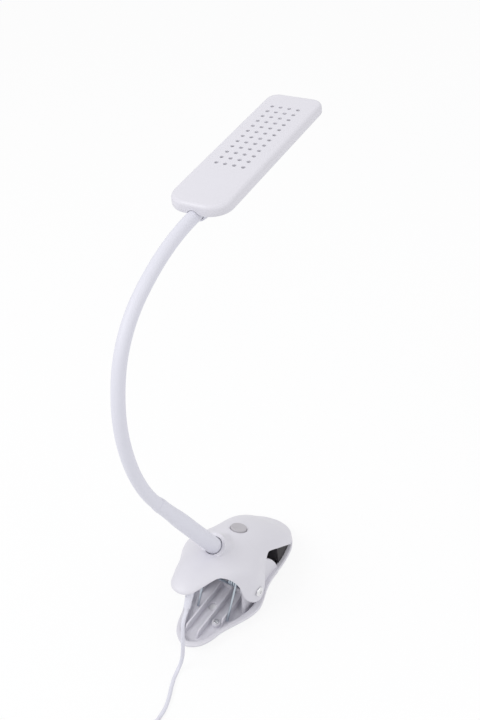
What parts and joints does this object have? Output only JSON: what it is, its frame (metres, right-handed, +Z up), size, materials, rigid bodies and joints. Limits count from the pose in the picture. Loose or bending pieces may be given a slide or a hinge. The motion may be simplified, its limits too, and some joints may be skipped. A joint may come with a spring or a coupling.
{
  "type": "clip-on reading lamp",
  "caption": "Clip-on reading lamp: vented flat LED head on a curved gooseneck, rising from a two-shell spring clip with a push button and a power lead.",
  "frame": {"origin": "centre of the base of the lamp's box, on the surface that it stands on, the lead left out", "axes": "+Z up, +Y from the clip's handles towards its jaws and the lamp head, +X to the lamp's right seen from behind its handles"},
  "size_m": [0.0895, 0.3023, 0.3014],
  "materials": {
    "white_plastic": "satin injection-moulded white plastic with a faint cool tint",
    "white_sleeve": "soft matte white sleeve and cord jacket",
    "grey_button": "light grey moulded button",
    "polished_steel": "nickel-plated steel",
    "spring_steel": "zinc-plated spring wire",
    "black_rubber": "matte black rubber",
    "milky_diffuser": "frosted light diffuser",
    "circuit_board": "white solder mask"
  },
  "bodies": {
    "upper_clip": {"upper_shell": "white_plastic", "inner_cover": "white_plastic", "upper_jaw_pad": "black_rubber", "hinge_pin": "polished_steel", "pin_cap": "polished_steel", "neck_nut": "white_plastic", "neck_cuff": "white_sleeve", "neck_core_0": "spring_steel", "switch_board": "circuit_board", "tact_switch": "black_rubber", "strain_relief": "white_sleeve", "cord": "white_sleeve", "cord_coil": "white_sleeve", "cord_tail": "white_sleeve", "cord_tie": "black_rubber", "plug_body": "white_plastic", "plug_shell": "polished_steel", "cover_screw_1": "polished_steel", "cover_screw_2": "polished_steel", "clip_spring": "spring_steel"},
    "button": {"button_cap": "grey_button"},
    "lower_clip": {"lower_shell": "white_plastic", "lower_jaw_pad": "black_rubber", "lower_screw": "polished_steel"},
    "neck_link_1": {"neck_core_1": "spring_steel", "neck_sleeve_1": "white_sleeve"},
    "neck_link_2": {"neck_core_2": "spring_steel", "neck_sleeve_2": "white_sleeve"},
    "neck_link_3": {"neck_core_3": "spring_steel", "neck_sleeve_3": "white_sleeve"},
    "neck_link_4": {"neck_core_4": "spring_steel", "neck_sleeve_4": "white_sleeve"},
    "neck_link_5": {"neck_core_5": "spring_steel", "neck_sleeve_5": "white_sleeve"},
    "head": {"neck_core_6": "spring_steel", "neck_sleeve_6": "white_sleeve", "head_cover": "white_plastic", "head_base": "white_plastic", "diffuser": "milky_diffuser", "led_board": "circuit_board", "head_collar": "white_sleeve", "head_screw_1": "polished_steel", "head_screw_2": "polished_steel"}
  },
  "joints": [
    {"name": "clip_hinge", "type": "hinge", "parent": "upper_clip", "child": "lower_clip", "pos_m": [0.0022, -0.0437, 0.0248], "axis": [-1, 0, 0], "range_deg": [0, 28], "stiffness_Nm_per_rad": 0.35, "springref_deg": -34.38, "deforming": ["clip_spring"]},
    {"name": "button_press", "type": "slide", "parent": "upper_clip", "child": "button", "axis": [0, -0.4067, -0.9135], "range_m": [0, 0.0008], "stiffness_N_per_m": 600, "springref_m": -0.0008},
    {"name": "neck_bend_1", "type": "hinge", "parent": "upper_clip", "child": "neck_link_1", "pos_m": [0.00706, -0.09573, 0.15523], "axis": [-0.9945, -0.1045, 0], "range_deg": [-12, 12]},
    {"name": "neck_sway_2", "type": "hinge", "parent": "neck_link_1", "child": "neck_link_2", "pos_m": [0.00819, -0.10647, 0.19154], "axis": [0.1033, -0.9833, -0.1498], "range_deg": [-12, 12]},
    {"name": "neck_bend_3", "type": "hinge", "parent": "neck_link_2", "child": "neck_link_3", "pos_m": [0.0082, -0.10658, 0.22938], "axis": [-0.9945, -0.1045, 0], "range_deg": [-12, 12]},
    {"name": "neck_bend_4", "type": "hinge", "parent": "neck_link_3", "child": "neck_link_4", "pos_m": [0.00686, -0.09382, 0.26272], "axis": [-0.9945, -0.1045, 0], "range_deg": [-12, 12]},
    {"name": "neck_sway_5", "type": "hinge", "parent": "neck_link_4", "child": "neck_link_5", "pos_m": [0.0041, -0.06754, 0.28339], "axis": [0.0418, -0.398, 0.9164], "range_deg": [-12, 12]},
    {"name": "neck_bend_6", "type": "hinge", "parent": "neck_link_5", "child": "head", "pos_m": [0.00068, -0.03506, 0.29239], "axis": [-0.9945, -0.1045, 0], "range_deg": [-12, 12]}
  ]
}
